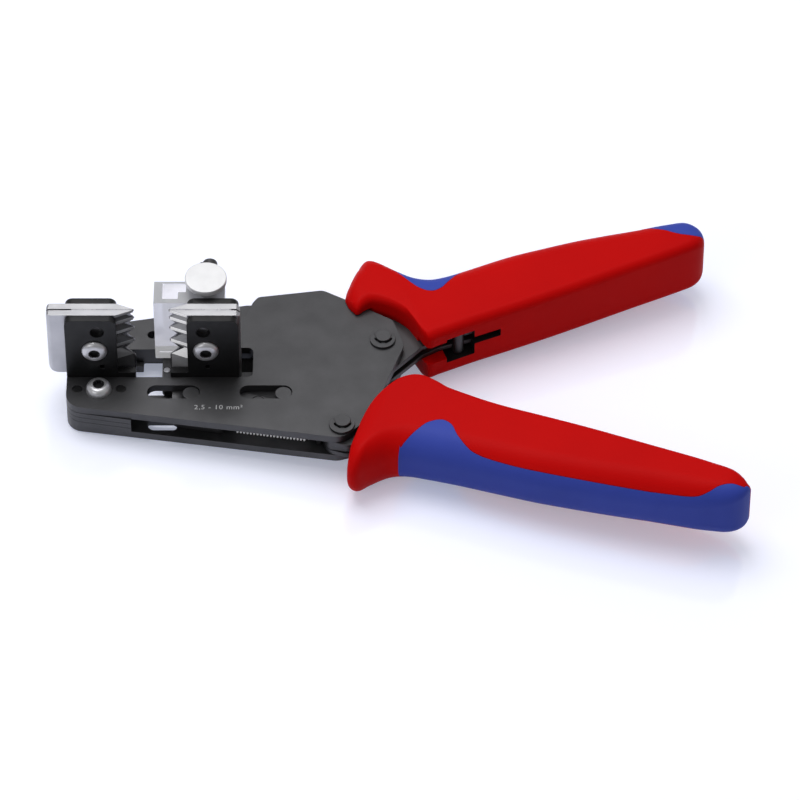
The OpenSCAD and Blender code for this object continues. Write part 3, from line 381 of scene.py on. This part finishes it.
def layered(node, look):
    low, high = (corner.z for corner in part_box(node))
    groove = look["groove"] / 1000
    share = (high - low - groove * (look["layers"] - 1)) / look["layers"]
    bm = bmesh.new()
    for k in range(look["layers"]):
        layer = softened(node, 0)
        layer.transform(Matrix.Translation((0, 0, low + k * (share + groove)))
                        @ Matrix.Diagonal((1, 1, share / (high - low), 1)) @ Matrix.Translation((0, 0, -low)))
        bm.from_mesh(layer)
    return brokenEdges(meshOf(bm, node), look["bevel"] / 1000)


newPiece("nose_spacer_pack_piece", layered("nose_spacer_pack", nosePack), "frame", slotOf["nose_spacer_pack"],
         ["nose_spacer_pack"])
print("stage: plates, pins and screws")

# Carriage: a well cut in its top plate beside the moving jaw, its floor and walls painted near-black as shade
well = {"x": (48.7, 52.6), "y": (-0.4, 6.9), "z": (1.2, 3.5), "wallTop": 2.3, "slack": 0.05}


def inWell(p, n):
    spans = ((p.x, well["x"]), (p.y, well["y"]), (p.z, (well["z"][0], well["wallTop"])))
    return all(low - well["slack"] < value < high + well["slack"] for value, (low, high) in spans)


plate = pieces["carriage_top_plate"]
hollow = box(*well["x"], *well["y"], *well["z"])
hollow.transform(toolToRow)
plate.data = cut(plate.data, hollow)
# The well's floor and walls: painted shade
repaint(plate.data, "painted_shade_black", inWell)

# A flush rivet in the same plate, seen through the second slot as a ring: its shallow groove is painted
# near-black as shade
rivet = {"middle": (53.8, -11.3), "radius": 1.85, "groove": 0.22, "depth": 0.3, "face": 2.5,
         "slack": (0.02, 0.05)}


def inRivetGroove(p, n):
    across, deep = rivet["slack"]
    off = math.hypot(p.x - rivet["middle"][0], p.y - rivet["middle"][1])
    return off < rivet["radius"] + across and p.z < rivet["face"] - deep


low, high = rivet["face"] - rivet["depth"], rivet["face"] + overrun / 2
ring = cut(prism(disc(*rivet["middle"], rivet["radius"]), low, high),
           prism(disc(*rivet["middle"], rivet["radius"] - rivet["groove"]), low - overrun, high + overrun))
ring.transform(toolToRow)
plate.data = cut(plate.data, ring)
# The rivet's groove: painted shade
repaint(plate.data, "painted_shade_black", inRivetGroove)

# Length stop: a milled block with a recess that steps round the knob's stem, and a foot with a slit
stopBlock = {"x": (24.6, 44.6), "y": (4.6, 13.0), "top": 25.5, "bodyFoot": 7.9, "foot": 2.9, "footWidth": 6.4,
             "footLap": 2, "recessFloor": 9.0, "bevel": 0.3, "slack": 0.1,
             "recess": [(27.1, 6.4), (31.4, 6.4), (31.4, 9.0), (33.6, 9.0), (33.6, 12.1), (27.1, 12.1)],
             "rod": (40.0, 22.0, 2.15), "stem": (39.3, 10.0, 1.55), "slit": (25.8, 29.6, 4.0, 5.4, 5.3, 5.7)}


def stopMesh(look):
    (x0, x1), (y0, y1), top = look["x"], look["y"], look["top"]
    foot = box(x0, x0 + look["footWidth"], y0, y1, look["foot"], look["bodyFoot"] + look["footLap"])
    solid = cut(box(x0, x1, y0, y1, look["bodyFoot"], top), foot, "UNION")
    solid = cut(solid, prism(look["recess"], look["recessFloor"], top + overrun))
    rodX, rodZ, rodRadius = look["rod"]
    bore = prism(disc(rodX, -rodZ, rodRadius), y0 - overrun, y1 + overrun)
    bore.transform(Matrix.Rotation(math.pi / 2, 4, "X") @ Matrix.Diagonal((1, 1, -1, 1)))
    bore.flip_normals()
    solid = cut(solid, bore)
    solid = cut(solid, prism(disc(*look["stem"]), rodZ, top + overrun))
    solid = brokenEdges(cut(solid, box(*look["slit"])), look["bevel"])
    solid.transform(toolToRow)
    return solid


def onRim(p, n):
    return n.z > 0.9 and p.z > stopBlock["top"] - stopBlock["slack"]


def inRecess(p, n):
    # The recess's floor and walls, and the foot below it
    (x0, y0), (x1, y1) = stopBlock["recess"][0], stopBlock["recess"][4]
    slack, floor = stopBlock["slack"], stopBlock["recessFloor"] - stopBlock["slack"]
    within = x0 - slack < p.x < x1 + slack and y0 - slack < p.y < y1 + slack
    square = n.z > 0.9 or abs(n.z) < 0.3
    return p.z < floor or within and square and floor < p.z < stopBlock["top"] - 2 * slack


stop = newPiece("length_stop_piece", stopMesh(stopBlock), bodyOf["length_stop"], slotOf["length_stop"],
                ["length_stop"])
# The block's top faces: grey
repaint(stop.data, "grey_top_faces", onRim)
# Painted light: the recess and the foot below it glow a little
repaint(stop.data, "recess_painted_glow", inRecess)

# Size marking: flat laser lettering on the top plate
marking = {"text": "2,5 - 10 mm\u00b2", "middle": (42.8, -16.1), "length": 13.5, "rise": 0.012,
           "spacing": 1.1}


def markingMesh(look):
    letters = bpy.data.curves.new("marking", "FONT")
    letters.body = look["text"]
    letters.align_x = letters.align_y = "CENTER"
    letters.resolution_u = 3
    letters.space_character = look["spacing"]
    flat = offBench(onBench(letters))
    edges = [v.co.x for v in flat.vertices]
    scale = look["length"] / (max(edges) - min(edges))
    z = (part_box("top_side_plate")[1].z - origin.z) * 1000 + look["rise"]
    flat.transform(toolToRow @ Matrix.Translation((*look["middle"], z))
                   @ Matrix.Diagonal((scale, scale, 1, 1)))
    return flat


newPiece("size_marking", markingMesh(marking), "frame", "white_plastic", finish="laser_mark")
print("stage: length stop and marking")

# Grips: lofted from shares of the reach and of the grip's width, as in the part's source
grips = {
    "width": 22.0, "half": 9.5, "innerRound": 2.6, "outerRound": 8.0, "mostRound": 0.48, "mostHalf": 0.96,
    "stations": 150, "ringPoints": 64, "endShare": 0.62, "endRound": 0.06, "sharpDegrees": 32,
    "upper": {"pivot": (88.9, 10.3), "degrees": 20.0, "reach": 99.6, "flip": -1, "slot": [
        (-40, -40), (-15, -30.5), (6.2, -6.6), (7.2, 0), (7.2, 12), (-40, 12)],
        "inner": [(-0.054, -0.64), (-0.042, -0.5), (-0.016, -0.53), (0.01, -0.545), (0.035, -0.48),
                  (0.06, -0.36), (0.08, -0.22), (0.092, -0.06), (0.1, 0.22), (0.11, 0.33), (0.14, 0.325),
                  (0.25, 0.28), (0.375, 0.245), (0.52, 0.195), (0.75, 0.09), (0.93, 0.01), (0.97, -0.03),
                  (0.99, -0.1), (1, -0.2)],
        "outer": [(-0.054, -0.78), (-0.041, -0.9), (-0.027, -0.98), (-0.004, -1.12), (0.018, -1.25),
                  (0.036, -1.34), (0.052, -1.385), (0.066, -1.365), (0.083, -1.285), (0.113, -1.105),
                  (0.15, -0.915), (0.193, -0.8), (0.235, -0.77), (0.287, -0.775), (0.44, -0.82),
                  (0.55, -0.81), (0.66, -0.785), (0.8, -0.715), (0.876, -0.67), (0.93, -0.62),
                  (0.967, -0.57), (0.99, -0.45), (1, -0.32)],
        "inlay": [(0.1, -1.9), (0.105, -1.1), (0.112, -0.92), (0.129, -0.69), (0.151, -0.5), (0.179, -0.4),
                  (0.21, -0.415), (0.24, -0.505), (0.276, -0.62), (0.33, -0.735), (0.5, -0.765),
                  (0.6, -0.75), (0.75, -0.69), (0.84, -0.6), (0.87, -0.48), (0.893, -0.39), (0.914, -0.3),
                  (0.944, -0.21), (0.987, -0.15), (1.1, -0.14), (1.1, -1.9)]},
    "lower": {"pivot": (77.6, -22.1), "degrees": -16.5, "reach": 115.4, "flip": 1, "slot": [
        (-30, -8), (9, -8), (14.5, 3), (17.2, 30), (-30, 30)],
        "inner": [(0.042, -0.2), (0.044, 0.06), (0.05, 0.32), (0.06, 0.5), (0.074, 0.65), (0.096, 0.83),
                  (0.12, 0.935), (0.14, 0.97), (0.16, 0.965), (0.19, 0.92), (0.217, 0.865), (0.27, 0.815),
                  (0.323, 0.775), (0.375, 0.752), (0.478, 0.73), (0.581, 0.703), (0.736, 0.642),
                  (0.84, 0.6), (0.892, 0.57), (0.945, 0.53), (0.98, 0.45), (1, 0.36)],
        "outer": [(0.042, -0.44), (0.046, -0.62), (0.056, -0.715), (0.074, -0.7), (0.093, -0.56),
                  (0.13, -0.365), (0.17, -0.275), (0.22, -0.25), (0.3, -0.235), (0.4, -0.235),
                  (0.51, -0.23), (0.7, -0.165), (0.868, -0.07), (0.93, 0), (0.966, 0.07), (0.99, 0.18),
                  (1, 0.3)],
        "inlay": [(0.155, -1.2), (0.155, -0.3), (0.16, -0.22), (0.172, -0.12), (0.19, 0.025), (0.208, 0.16),
                  (0.237, 0.245), (0.263, 0.2), (0.285, 0.06), (0.315, -0.06), (0.345, -0.115), (0.4, -0.14),
                  (0.5, -0.145), (0.67, -0.1), (0.812, -0.04), (0.877, 0), (0.906, 0.065), (0.93, 0.17),
                  (0.956, 0.24), (0.985, 0.27), (1, 0.345), (1.1, 0.6), (1.1, -1.2)]},
    # Half the width of the tang's slot; the inlay's seam, smoothing steps, half depth and open back edge
    "slotHalf": 5.3, "seam": 0.12, "zoneSteps": 6, "zoneHalf": 15, "zoneBack": -1.2,
    # Window, notch and slit through the upper grip's inner side: x from and to, y from and to, z from and to
    "windowCuts": [(16.6, 25.3, 0.6, 20, -4.2, 5.2), (24.3, 33.4, 0.6, 20, -0.2, 2.5),
                   (4, 17.6, 2, 12, -2.55, 4.2)],
    "wallTilt": 0.5, "floorBelow": 0.7, "slack": 0.02,
}


def curve(table, x):
    i = 0
    while i < len(table) - 2 and x >= table[i + 1][0]:
        i += 1

    def slope(k):
        a, b = max(0, k - 1), min(len(table) - 1, k + 1)
        return (table[b][1] - table[a][1]) / (table[b][0] - table[a][0])

    w = table[i + 1][0] - table[i][0]
    s = max(0.0, min(1.0, (x - table[i][0]) / w))
    return (table[i][1] * (2 * s ** 3 - 3 * s ** 2 + 1) + slope(i) * w * (s ** 3 - 2 * s ** 2 + s)
            + table[i + 1][1] * (3 * s ** 2 - 2 * s ** 3) + slope(i + 1) * w * (s ** 3 - s ** 2))


def handlePlace(side):
    g = grips[side]
    turn = Matrix.Rotation(math.radians(g["degrees"]), 4, "Z")
    return toolToRow @ Matrix.Translation((*g["pivot"], 0)) @ turn @ Matrix.Diagonal((1, g["flip"], 1, 1))


def gripRing(bm, g, s, first):
    # One cross-section: four rounded corners between the inner and the outer edge, drawn in near the ends
    high, low = curve(g["inner"], s) * grips["width"], curve(g["outer"], s) * grips["width"]
    e = min(1, min(s - first, 1 - s) / grips["endRound"])
    drop = grips["endShare"] + (1 - grips["endShare"]) * math.sqrt(max(0, 1 - (1 - e) ** 2))
    half = grips["half"] * drop
    most = min((high - low) * grips["mostRound"], half * grips["mostHalf"])
    inner, outer = min(grips["innerRound"], most), min(grips["outerRound"], most)
    steps = grips["ringPoints"] // 4
    ring = []
    for q in range(4):
        onInner = q in (0, 3)
        r = inner if onInner else outer
        for step in range(steps):
            a = math.pi / 2 * (q + step / (steps - 1))
            y = (high - r if onInner else low + r) + r * math.cos(a)
            z = (half - r if q < 2 else r - half) + r * math.sin(a)
            ring.append(bm.verts.new((s * g["reach"], y, z)))
    return ring


def skin(bm, rings):
    # Quads between neighbouring rings
    for a, b in zip(rings, rings[1:]):
        for k in range(len(a)):
            j = (k + 1) % len(a)
            bm.faces.new((a[k], a[j], b[j], b[k]))


def gripLoft(side):
    g = grips[side]
    first = g["inner"][0][0]
    bm = bmesh.new()
    rings = []
    for k in range(grips["stations"] + 1):
        u = k / grips["stations"]
        s = first + (1 - first) * (u + (1 - math.cos(math.pi * u)) / 2) / 2
        rings.append(gripRing(bm, g, s, first))
    skin(bm, rings)
    bm.faces.new(rings[0])
    bm.faces.new(rings[-1])
    bmesh.ops.recalc_face_normals(bm, faces=bm.faces)
    return meshOf(bm, side + "Grip")


def zoneOutline(side, inset):
    # A smooth curve through the inlay's points, but for its straight start and end off the grip
    g = grips[side]
    points = [Vector((x * g["reach"], y * grips["width"])) for x, y in g["inlay"]]
    steps = grips["zoneSteps"]
    smooth = []
    for i in range(1, len(points) - 2):
        p0, p1, p2, p3 = points[i - 1:i + 3]
        for t in [step / steps for step in range(steps)]:
            smooth.append(0.5 * ((2 * p1) + (p2 - p0) * t + (2 * p0 - 5 * p1 + 4 * p2 - p3) * t * t
                                 + (3 * p1 - p0 - 3 * p2 + p3) * t ** 3))
    middle = [points[0]] + smooth[steps // 2:-steps] + [points[-2], points[-1]]
    back = grips["zoneBack"] * grips["width"]
    return [(p.x, p.y - inset) if p.y > back else (p.x, p.y) for p in middle]


def inWindow(p, n):
    # On a wall of the window or its notch, in the handle's own axes; these faces get black as painted shade
    slack = grips["slack"]
    return (abs(n.y) < grips["wallTilt"] or p.y < grips["floorBelow"]) and any(
        x0 - slack < p.x < x1 + slack and y0 - slack < p.y and z0 - slack < p.z < z1 + slack
        for x0, x1, y0, y1, z0, z1 in grips["windowCuts"][:2])


def gripPiece(side):
    g = grips[side]
    solid = cut(gripLoft(side), prism(g["slot"], -grips["slotHalf"], grips["slotHalf"]))
    if side == "upper":
        for edges in grips["windowCuts"]:
            solid = cut(solid, box(*edges))
    for part, way, inset in (("shell", "DIFFERENCE", 0.0), ("inlay", "INTERSECT", grips["seam"])):
        zone = prism(zoneOutline(side, inset), -grips["zoneHalf"], grips["zoneHalf"])
        mesh = cut(solid.copy(), zone, way)
        dark = [face.index for face in mesh.polygons
                if side == "upper" and inWindow(face.center, face.normal)]
        mesh.transform(handlePlace(side))
        if g["flip"] < 0:
            mesh.flip_normals()
        mesh.shade_smooth()
        mesh.set_sharp_from_angle(angle=math.radians(grips["sharpDegrees"]))
        node = f"{side}_grip_{part}"
        newPiece(node + "_piece", mesh, side + "_handle", slotOf[node], [node])
        # The window's and notch's walls: painted shade, black on the moulding
        mesh.materials.append(materials["black_oxide"])
        for index in dark:
            mesh.polygons[index].material_index = 1


for side in ("upper", "lower"):
    gripPiece(side)
print("stage: grips")

# Return spring: round wire in close turns with a hook at each pin, drawn by a node tree
spring = {"from": (42.0, -17.6), "to": (71.0, -22.4), "wire": 0.5, "outer": 3.9, "turns": 21, "pitch": 0.95,
          "perTurn": 24, "wireSides": 10, "leadShare": 0.66, "hookRadius": 1.15, "hookPoints": 22,
          "hookSides": 24, "leadIn": 1.4, "leadTurn": 2.2, "leadSteps": 8, "sharpDegrees": 60, "rigidEnd": 2}
coilRadius = (spring["outer"] - spring["wire"]) / 2
wireRadius = spring["wire"] / 2


def springMesh():
    tree = bpy.data.node_groups.new("springCoil", "GeometryNodeTree")
    sizes = {"Turns": ("Int", spring["turns"]), "Pitch": ("Float", spring["pitch"]),
             "Coil Radius": ("Float", coilRadius), "Wire Radius": ("Float", wireRadius),
             "Material": ("Material", materials["spring_wire"])}
    for name, (kind, value) in sizes.items():
        tree.interface.new_socket(name, in_out="INPUT", socket_type="NodeSocket" + kind)
    tree.interface.new_socket("Geometry", in_out="OUTPUT", socket_type="NodeSocketGeometry")
    inputs = addNode(tree, "NodeGroupInput")
    height = addNode(tree, "ShaderNodeMath", links={0: inputs.outputs["Turns"], 1: inputs.outputs["Pitch"]},
                     operation="MULTIPLY")
    helix = addNode(tree, "GeometryNodeCurveSpiral", {"Resolution": spring["perTurn"]},
                    {"Rotations": inputs.outputs["Turns"], "Start Radius": inputs.outputs["Coil Radius"],
                     "End Radius": inputs.outputs["Coil Radius"], "Height": height.outputs[0]})
    wire = addNode(tree, "GeometryNodeCurvePrimitiveCircle", {"Resolution": spring["wireSides"]},
                   {"Radius": inputs.outputs["Wire Radius"]})
    tube = addNode(tree, "GeometryNodeCurveToMesh", {"Fill Caps": True},
                   {"Curve": helix.outputs[0], "Profile Curve": wire.outputs[0]})
    real = addNode(tree, "GeometryNodeRealizeInstances", links={0: tube.outputs[0]})
    painted = addNode(tree, "GeometryNodeSetMaterial", links={0: real.outputs[0],
                                                             "Material": inputs.outputs["Material"]})
    addNode(tree, "NodeGroupOutput", links={0: painted.outputs[0]})
    holder = onBench(bpy.data.meshes.new("coil"))
    modifier = holder.modifiers.new("coil", "NODES")
    modifier.node_group = tree
    ids = {item.name: item.identifier for item in tree.interface.items_tree if item.in_out == "INPUT"}
    for name, (kind, value) in sizes.items():
        modifier[ids[name]] = value
    return offBench(holder)


def wireMesh(points, radius, sides):
    # A round wire along points, for the hooks
    bm = bmesh.new()
    rings = []
    across = None
    for i, p in enumerate(points):
        ahead = (points[min(i + 1, len(points) - 1)] - points[max(i - 1, 0)]).normalized()
        across = (across - ahead * across.dot(ahead) if rings else ahead.orthogonal()).normalized()
        up = ahead.cross(across)
        turns = [2 * math.pi * k / sides for k in range(sides)]
        rings.append([bm.verts.new(p + radius * (across * math.cos(a) + up * math.sin(a))) for a in turns])
    skin(bm, rings)
    bm.faces.new(rings[0][::-1])
    bm.faces.new(rings[-1])
    return meshOf(bm, "hook")


def hook(length):
    # From the coil's rim in to its axis, along it, and once round the pin at the end
    points = []
    for t in [i / spring["leadSteps"] for i in range(spring["leadSteps"] + 1)]:
        r, a = coilRadius * (1 - t), spring["leadTurn"] * t
        points.append(Vector((r * math.cos(a), r * math.sin(a), -spring["leadIn"] * t)))
    for i in range(spring["hookPoints"]):
        a = math.pi / 2 - 2 * math.pi * i / spring["hookSides"]
        loop = Vector((0, math.cos(a), math.sin(a))) * spring["hookRadius"]
        points.append(Vector((0, 0, -length)) + loop)
    return wireMesh(points, wireRadius, spring["wireSides"])


start, end = Vector((*spring["from"], 0)), Vector((*spring["to"], 0))
along = (end - start).normalized()
coilLength = spring["turns"] * spring["pitch"]
slack = (end - start).length - coilLength
lead = slack * spring["leadShare"]
lay = Vector((0, 0, 1)).rotation_difference(along).to_matrix().to_4x4()
bm = bmesh.new()
bm.from_mesh(springMesh())
bm.from_mesh(hook(lead))
farHook = hook(slack - lead)
farHook.transform(Matrix.Translation((0, 0, coilLength)) @ Matrix.Rotation(math.pi, 4, "X"))
bm.from_mesh(farHook)
bmesh.ops.remove_doubles(bm, verts=bm.verts, dist=1e-7)
bmesh.ops.recalc_face_normals(bm, faces=bm.faces)
mesh = meshOf(bm, "returnSpring")
mesh.shade_smooth()
mesh.set_sharp_from_angle(angle=math.radians(spring["sharpDegrees"]))
mesh.transform(toolToRow @ Matrix.Translation(start + along * lead) @ lay)
coil = newPiece("return_spring_piece", mesh, None, slotOf["return_spring"], ["return_spring"], "spring_wire")
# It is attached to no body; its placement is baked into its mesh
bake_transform(coil)
print("stage: spring")

# Studio: a glossy white floor that meets the nose and the grips, a soft room and two lamps
studio = {"floorSize": 6.0, "lift": 0.38, "tiltDegrees": 3.1, "touch": -0.012, "drop": 0.0001,
          "board": {"Base Color": linear("#EEEFFA"), "Roughness": 0.55, "Emission Color": linear("#E4EBFF"),
                    "Coat Weight": 1.0, "Coat IOR": 2.0, "Coat Roughness": 0.1},
          "heights": {"From Min": -0.1, "From Max": 0.9, "To Min": 0.42, "To Max": 0.54},
          "depths": {"From Min": -0.9, "From Max": 0.4, "To Min": 0.55, "To Max": 1.0},
          "keyLamp": {"place": (-0.25, 0.38, 1.35), "size": (1.0, 0.9), "watts": 11.5},
          "fillLamp": {"place": (-0.9, -0.9, 0.8), "size": (0.8, 0.6), "watts": 2.4}}
bm = bmesh.new()
bmesh.ops.create_grid(bm, x_segments=1, y_segments=1, size=studio["floorSize"] / 2)
floorMesh = meshOf(bm, "floor")
floor = bpy.data.objects.new("floor", floorMesh)
scene.collection.objects.link(floor)
floorMesh.transform(Matrix.Translation((studio["touch"], 0, -studio["drop"]))
                    @ Matrix.Rotation(math.radians(studio["tiltDegrees"]), 4, "Y"))

# The board is lifted towards white where it is seen, straight or in a reflection, and keeps its shadow
floorMaterial, tree = newMaterial("glossyBoard")
path = addNode(tree, "ShaderNodeLightPath")
seen = path.outputs["Is Camera Ray"]
for ray in ("Is Glossy Ray", "Is Transmission Ray"):
    either = addNode(tree, "ShaderNodeMath", links={0: seen, 1: path.outputs[ray]}, operation="MAXIMUM")
    seen = either.outputs[0]
lift = addNode(tree, "ShaderNodeMath", {1: studio["lift"]}, {0: seen}, operation="MULTIPLY")
board = addNode(tree, "ShaderNodeBsdfPrincipled", studio["board"], {"Emission Strength": lift.outputs[0]})
addNode(tree, "ShaderNodeOutputMaterial", links={"Surface": board.outputs[0]})
floorMesh.materials.append(floorMaterial)

# Lighter overhead and behind than at the front, as under a soft box with a dark room before it
world = bpy.data.worlds.new("studioRoom")
scene.world = world
world.use_nodes = True
tree = world.node_tree
tree.nodes.clear()
way = addNode(tree, "ShaderNodeTexCoord").outputs["Generated"]
split = addNode(tree, "ShaderNodeSeparateXYZ", links={0: way})
height = addNode(tree, "ShaderNodeMapRange", studio["heights"], {"Value": split.outputs["Z"]})
depth = addNode(tree, "ShaderNodeMapRange", studio["depths"], {"Value": split.outputs["Y"]})
strength = addNode(tree, "ShaderNodeMath", links={0: height.outputs[0], 1: depth.outputs[0]},
                   operation="MULTIPLY")
room = addNode(tree, "ShaderNodeBackground", {"Color": linear("#FFFFFF")}, {"Strength": strength.outputs[0]})
addNode(tree, "ShaderNodeOutputWorld", links={"Surface": room.outputs[0]})

for name in ("keyLamp", "fillLamp"):
    lamp = studio[name]
    light = bpy.data.lights.new(name, "AREA")
    light.shape = "RECTANGLE"
    light.size, light.size_y = lamp["size"]
    light.energy = lamp["watts"]
    holder = bpy.data.objects.new(name, light)
    holder.location = lamp["place"]
    holder.rotation_euler = (-Vector(lamp["place"])).to_track_quat("-Z", "Y").to_euler()
    scene.collection.objects.link(holder)
print("stage: studio")
